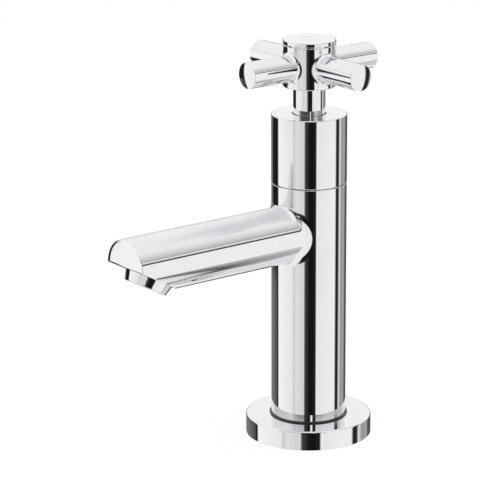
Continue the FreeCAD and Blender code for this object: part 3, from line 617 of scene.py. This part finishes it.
def nozzle():
    """Outlet nozzle: a short cone on the slanted cut, with a lip that holds the flow insert."""
    turn = Matrix.Rotation(-pi / 2, 4, "Z") @ Matrix.Rotation(pi - SPOUT_CUT, 4, "Y")
    seat_z = SPOUT_Z + TIP_RISE - NOZZLE_BACK * sin(SPOUT_CUT)
    seat = Vector((0, NOZZLE_BACK * cos(SPOUT_CUT) - SPOUT_END, seat_z))
    lip = NOZZLE_H - NOZZLE_LIP
    lathe("outlet_nozzle", CHROME, "root", "chrome_plated_brass", ["nozzle_housing"], [
        (NOZZLE_BORE_R, -NOZZLE_SPIGOT), (NOZZLE_SPIGOT_R, -NOZZLE_SPIGOT), (NOZZLE_SPIGOT_R, 0),
        (NOZZLE_R, 0, NOZZLE_FOOT_EDGE), (NOZZLE_MOUTH_R, NOZZLE_H, NOZZLE_MOUTH_EDGE),
        (NOZZLE_LIP_R, NOZZLE_H, FINE_EDGE), (NOZZLE_LIP_R, lip), (NOZZLE_BORE_R, lip),
    ], frame_at=Matrix.Translation(seat) @ turn)


# ---- Tail and clamp ----------------------------------------------------------------------------

def threaded_tail():
    """Tail with its rolled pipe thread, rounded at crest and root, and a bevel at the lower end."""
    rows_a_turn, sides = 14, 96
    rows = int((TAIL_TOP - TAIL_LOW) / THREAD_PITCH * rows_a_turn)
    skin = Skin()
    lines = []
    for side in range(sides):
        share = side / sides
        along = Vector((cos(tau * share), sin(tau * share), 0))
        line = [(TAIL_BORE_R, TAIL_TOP), (TAIL_BORE_R, TAIL_LOW)]
        for row in range(rows + 1):
            z = TAIL_LOW + (TAIL_TOP - TAIL_LOW) * row / rows
            wave = cos(tau * (z / THREAD_PITCH - share))
            crest = max(-1.0, min(1.0, THREAD_FLAT * wave))
            radius = TAIL_R - THREAD_DEPTH * (1 - crest) / 2
            line.append((min(radius, TAIL_R - TAIL_BEVEL + z - TAIL_LOW), z))
        line.append(line[0])
        lines.append([(along * radius + UP * z, along) for radius, z in line])
    skin.grid(lines, closed=True)
    skin.piece("threaded_tail", BRASS, "root", "turned_brass", "inlet_shank")


def clamp():
    """Rubber ring and pressed plate that the backnut pulls up against the deck from below."""
    rubber_r, rubber_top, rubber_low = high("clamp_gasket").x, high("clamp_gasket").z, low("clamp_gasket").z
    lathe("clamp_rubber", RUBBER, "clamp", "black_rubber", ["clamp_gasket"], [
        (TAIL_R + RUBBER_GAP, rubber_low), (rubber_r, rubber_low, RUBBER_EDGE),
        (rubber_r, rubber_top, RUBBER_EDGE), (TAIL_R + RUBBER_GAP, rubber_top),
    ])
    plate_r, plate_low = high("clamp_washer").x, low("clamp_washer").z
    lathe("clamp_plate", ZINC, "clamp", "zinc_plated_steel", ["clamp_washer"], [
        (TAIL_R + PLATE_GAP, plate_low), (plate_r, plate_low, PLATE_EDGE),
        (plate_r, rubber_low, FINE_EDGE), (TAIL_R + PLATE_GAP, rubber_low),
    ])


# ---- Studio ------------------------------------------------------------------------------------

CAMERA_TURN = radians(50.347)           # azimuth of the camera round the tap
CAMERA_OUT, CAMERA_HEIGHT = 1104.58 * MM, 397.243 * MM
CAMERA_PITCH, CAMERA_YAW, CAMERA_ROLL = radians(15.768), radians(1.517), radians(-0.242)
CAMERA_LENS, SENSOR_WIDTH = 202.42, 36            # millimetres


def camera():
    """The photo's camera: its place is given round the tap, and its aim as turns off the level line."""
    lens = bpy.data.cameras.new("camera")
    lens.sensor_width = SENSOR_WIDTH
    lens.lens = CAMERA_LENS
    lens.clip_start, lens.clip_end = 0.05, 20
    made = bpy.data.objects.new("camera", lens)
    bpy.context.scene.collection.objects.link(made)
    heading = CAMERA_TURN + CAMERA_YAW
    ahead = Vector((-sin(heading) * cos(CAMERA_PITCH), cos(heading) * cos(CAMERA_PITCH), -sin(CAMERA_PITCH)))
    right = ahead.cross(UP).normalized()
    upright = right.cross(ahead)
    tilted = right * cos(CAMERA_ROLL) + upright * sin(CAMERA_ROLL)
    level = tilted.cross(ahead)
    aim = Matrix((tilted, level, -ahead)).transposed().to_4x4()
    aim.translation = (CAMERA_OUT * sin(CAMERA_TURN), -CAMERA_OUT * cos(CAMERA_TURN), CAMERA_HEIGHT)
    made.matrix_world = aim
    bpy.context.scene.camera = made


# The studio that mirrors see. Azimuths are from the camera's, positive to its right, and heights are
# over the horizon, both in degrees. Tones are display greys.
SIDES_OF_ROOM = [                    # by azimuth
    (-180, 120), (-150, 112), (-139, 30), (-109.5, 26),                # left flag
    (-105, 244), (-98, 238), (-51.5, 227),                             # left soft box
    (-49, 210), (-46.5, 200), (-43, 210), (-37, 219), (-20, 207), (-15, 214),      # fill card
    (-11.5, 62), (-3, 42), (0, 22), (14, 18), (16, 42), (18, 18), (21, 20),        # gap at the camera
    (24.5, 238), (29, 227), (60, 232), (87, 235),                      # right soft box
    (91.5, 40), (97, 30), (103, 60), (106, 210), (111, 205),           # right flag
    (116, 145), (138, 158), (144, 75),                                 # wall
]
BOX_TOP = [(12.5, 232), (13.5, 20), (16.5, 50), (19, 150), (30, 196), (45, 228)]    # by height
DIM_ROOM = [(12, 90), (14.5, 40), (30, 50), (38, 225)]                 # by height
FAR_WALL = [(-90, 197), (90, 197)]                                     # one tone
LAMP_GLARE = [(-90, 247), (90, 247)]                                   # one tone
FLAG_FOOT = [(-150, 118), (-117, 80)]                                  # by azimuth
TABLE = [(-1.5, 233), (-0.5, 205), (0, 70), (0.8, 150), (3, 200), (8, 210), (14, 220)]    # past its edge
TABLE_EDGE = ((87.5, -39.5), (97.2, -46))         # two directions to the straight edge of the table

# What is painted on the room, one over the other: the angle that the tones follow, the tones, and
# the angles at which the paint starts, is full, fades and ends.
PAINTS = [
    ("azimuth", SIDES_OF_ROOM, {"height": (-42, -37, 5, 8)}),
    ("azimuth", SIDES_OF_ROOM, {"height": (5, 8, 24, 29), "azimuth": (-30, -22, 108, 120)}),
    ("height", BOX_TOP, {"height": (12.5, 12.6, 89, 90), "azimuth": (50, 68, 92, 110)}),
    ("height", FAR_WALL, {"height": (17.0, 17.6, 19.45, 19.65), "azimuth": (-140, -125, 125, 140)}),
    ("height", DIM_ROOM, {"height": (12, 12.1, 14.5, 15.5), "azimuth": (-86, -56, 14, 66)}),
    ("height", DIM_ROOM, {"height": (14.5, 15.5, 37.9, 38), "azimuth": (-52, -30, 14, 66)}),
    ("azimuth", SIDES_OF_ROOM, {"height": (19.45, 19.65, 21.5, 22), "azimuth": (-70, -60, 108, 120)}),
    ("height", LAMP_GLARE, {"height": (11, 13, 22, 23.5), "azimuth": (5, 8, 11, 14)}),
    ("azimuth", FLAG_FOOT, {"height": (-31, -29, -16.8, -16), "azimuth": (-153, -150, -117, -113)}),
    ("past_table", TABLE, {"past_table": (-1.6, -1.5, 14, 22), "azimuth": (78, 84, 130, 145),
                           "height": (-75, -70, -36, -33)}),
]
ROOM_TONE = "#EAEAEA"
EYE_WHITE = "#FFFFFF"      # what the eye sees of the room
MIRRORED_GAIN = 0.24       # the room is brighter in a mirror than to the eye,
PLAIN_LOSS = 0.2           # and gives matt surfaces less light
FLOOR_PAINT = "#F2F2F2"
FLOOR_R, FLOOR_LEVEL = 5.0, -0.02 * MM            # just under the flange, which hides the hole's rim
FLOOR_HOLE_R = FLANGE_R - 0.5 * MM
FLOOR_GLOW, GLOW_SHARE = 1.04, 0.8                # strength of the floor's own white, and its share
LAMP_PLACE, LAMP_SIZE, LAMP_WATTS = (0.3, -0.5, 1.5), 1.2, 9.0


def toward(azimuth, height):
    """Direction of an azimuth and a height in the room."""
    level = cos(radians(height))
    return Vector((sin(radians(azimuth)) * level, -cos(radians(azimuth)) * level, sin(radians(height))))


def painted(tree, room, angle, reach, stops, masks):
    """Paint tones over an angle onto the room. Each mask is an angle and its four limits."""
    lowest, highest = -reach, reach
    share = add(tree, "ShaderNodeMapRange", {"Value": angle, "From Min": lowest, "From Max": highest})[0]
    tones = add(tree, "ShaderNodeValToRGB", {"Fac": share})[0]
    marks = tones.node.color_ramp.elements
    while len(marks) < len(stops):
        marks.new(0.5)
    for mark, (place, level) in zip(marks, stops):
        mark.position = (place - lowest) / (highest - lowest)
        mark.color = linear("#" + 3 * ("%02X" % level))
    cover = 1.0
    for around, (start, full, fade, end) in masks:
        for outer, inner in ((start, full), (end, fade)):
            edge = add(tree, "ShaderNodeMapRange", {"Value": around, "From Min": outer, "From Max": inner},
                       interpolation_type="SMOOTHSTEP")[0]
            cover = add(tree, "ShaderNodeMath", {0: edge, 1: cover}, operation="MULTIPLY")[0]
    return add(tree, "ShaderNodeMix", {"Factor": cover, 6: room, 7: tones}, data_type="RGBA")[2]


def studio():
    """White room for the eye and for plain light; mirrors see its soft boxes, flags and gaps."""
    world = bpy.data.worlds.new("studio")
    bpy.context.scene.world = world
    world.use_nodes = True
    tree = world.node_tree
    tree.nodes.clear()
    direction = add(tree, "ShaderNodeTexCoord")["Generated"]
    facing = add(tree, "ShaderNodeVectorRotate", {"Vector": direction, "Angle": -CAMERA_TURN},
                 rotation_type="Z_AXIS")[0]
    axes = add(tree, "ShaderNodeSeparateXYZ", {0: facing})
    towards = add(tree, "ShaderNodeMath", {0: axes["Y"], 1: -1.0}, operation="MULTIPLY")[0]
    around = add(tree, "ShaderNodeMath", {0: axes["X"], 1: towards}, operation="ARCTAN2")[0]
    upward = add(tree, "ShaderNodeMath", {0: axes["Z"]}, operation="ARCSINE")[0]
    azimuth = add(tree, "ShaderNodeMath", {0: around}, operation="DEGREES")[0]
    height = add(tree, "ShaderNodeMath", {0: upward}, operation="DEGREES")[0]

    pole = toward(*TABLE_EDGE[0]).cross(toward(*TABLE_EDGE[1])).normalized()
    off_edge = add(tree, "ShaderNodeVectorMath", {0: facing, 1: pole}, operation="DOT_PRODUCT")["Value"]
    turned = add(tree, "ShaderNodeMath", {0: off_edge}, operation="ARCSINE")[0]
    past_table = add(tree, "ShaderNodeMath", {0: turned}, operation="DEGREES")[0]

    angles = {"azimuth": azimuth, "height": height, "past_table": past_table}
    room = add(tree, "ShaderNodeRGB")[0]
    room.default_value = linear(ROOM_TONE)
    for along, stops, limits in PAINTS:
        reach = 180 if along == "azimuth" else 90
        masks = [(angles[name], four) for name, four in limits.items()]
        room = painted(tree, room, angles[along], reach, stops, masks)

    rays = add(tree, "ShaderNodeLightPath")
    seen = add(tree, "ShaderNodeMix", {"Factor": rays["Is Glossy Ray"], 6: linear(EYE_WHITE), 7: room},
               data_type="RGBA")[2]
    mirrored = add(tree, "ShaderNodeMath", {0: rays["Is Glossy Ray"], 1: MIRRORED_GAIN, 2: 1.0},
                   operation="MULTIPLY_ADD")[0]
    strength = add(tree, "ShaderNodeMath", {0: rays["Is Diffuse Ray"], 1: -PLAIN_LOSS, 2: mirrored},
                   operation="MULTIPLY_ADD")[0]
    light = add(tree, "ShaderNodeBackground", {"Color": seen, "Strength": strength})[0]
    add(tree, "ShaderNodeOutputWorld", {"Surface": light})


def floor():
    """Pale floor with a hole under the flange: it glows white, and keeps a soft shadow of the tap."""
    sides = 96
    turns = [tau * side / sides for side in range(sides)]
    rings = [(r * cos(turn), r * sin(turn), FLOOR_LEVEL) for r in (FLOOR_HOLE_R, FLOOR_R) for turn in turns]
    tiles = [(side, side + sides, (side + 1) % sides + sides, (side + 1) % sides) for side in range(sides)]
    mesh = bpy.data.meshes.new("floor")
    mesh.from_pydata(rings, [], tiles)
    made = bpy.data.objects.new("floor", mesh)
    bpy.context.scene.collection.objects.link(made)
    made.visible_glossy = False
    material = bpy.data.materials.new("pale_floor")
    material.use_nodes = True
    tree = material.node_tree
    tree.nodes.clear()
    paint = add(tree, "ShaderNodeBsdfDiffuse", {"Color": linear(FLOOR_PAINT)})[0]
    glow = add(tree, "ShaderNodeEmission", {"Color": linear(EYE_WHITE), "Strength": FLOOR_GLOW})[0]
    rays = add(tree, "ShaderNodeLightPath")
    share = add(tree, "ShaderNodeMath", {0: rays["Is Camera Ray"], 1: GLOW_SHARE}, operation="MULTIPLY")[0]
    both = add(tree, "ShaderNodeMixShader", {0: share, 1: paint, 2: glow})[0]
    add(tree, "ShaderNodeOutputMaterial", {"Surface": both})
    mesh.materials.append(material)


def lamp():
    """One large soft lamp overhead, for the plain light; mirrors see the room instead."""
    light = bpy.data.lights.new("soft_lamp", "AREA")
    light.shape = "DISK"
    light.size = LAMP_SIZE
    light.energy = LAMP_WATTS
    made = bpy.data.objects.new("soft_lamp", light)
    bpy.context.scene.collection.objects.link(made)
    made.location = LAMP_PLACE
    made.rotation_euler = (-made.location).to_track_quat("-Z", "Y").to_euler()
    made.visible_glossy = False


# ---- Making it ---------------------------------------------------------------------------------

base()
column()
hub()
cap()
for number, name in enumerate(("arm_front", "arm_right", "arm_back", "arm_left")):
    arm(name, radians(90 * number - 90))
spout()
nozzle()
threaded_tail()
clamp()

for row in frame["record"]["subparts"]:
    node = frame["nodes"][row["node"]]
    node.data.materials.clear()
    node.data.materials.append(SLOT_FINISH[row["material_slot"]])

camera()
studio()
floor()
lamp()
bpy.context.scene.view_settings.view_transform = "Standard"
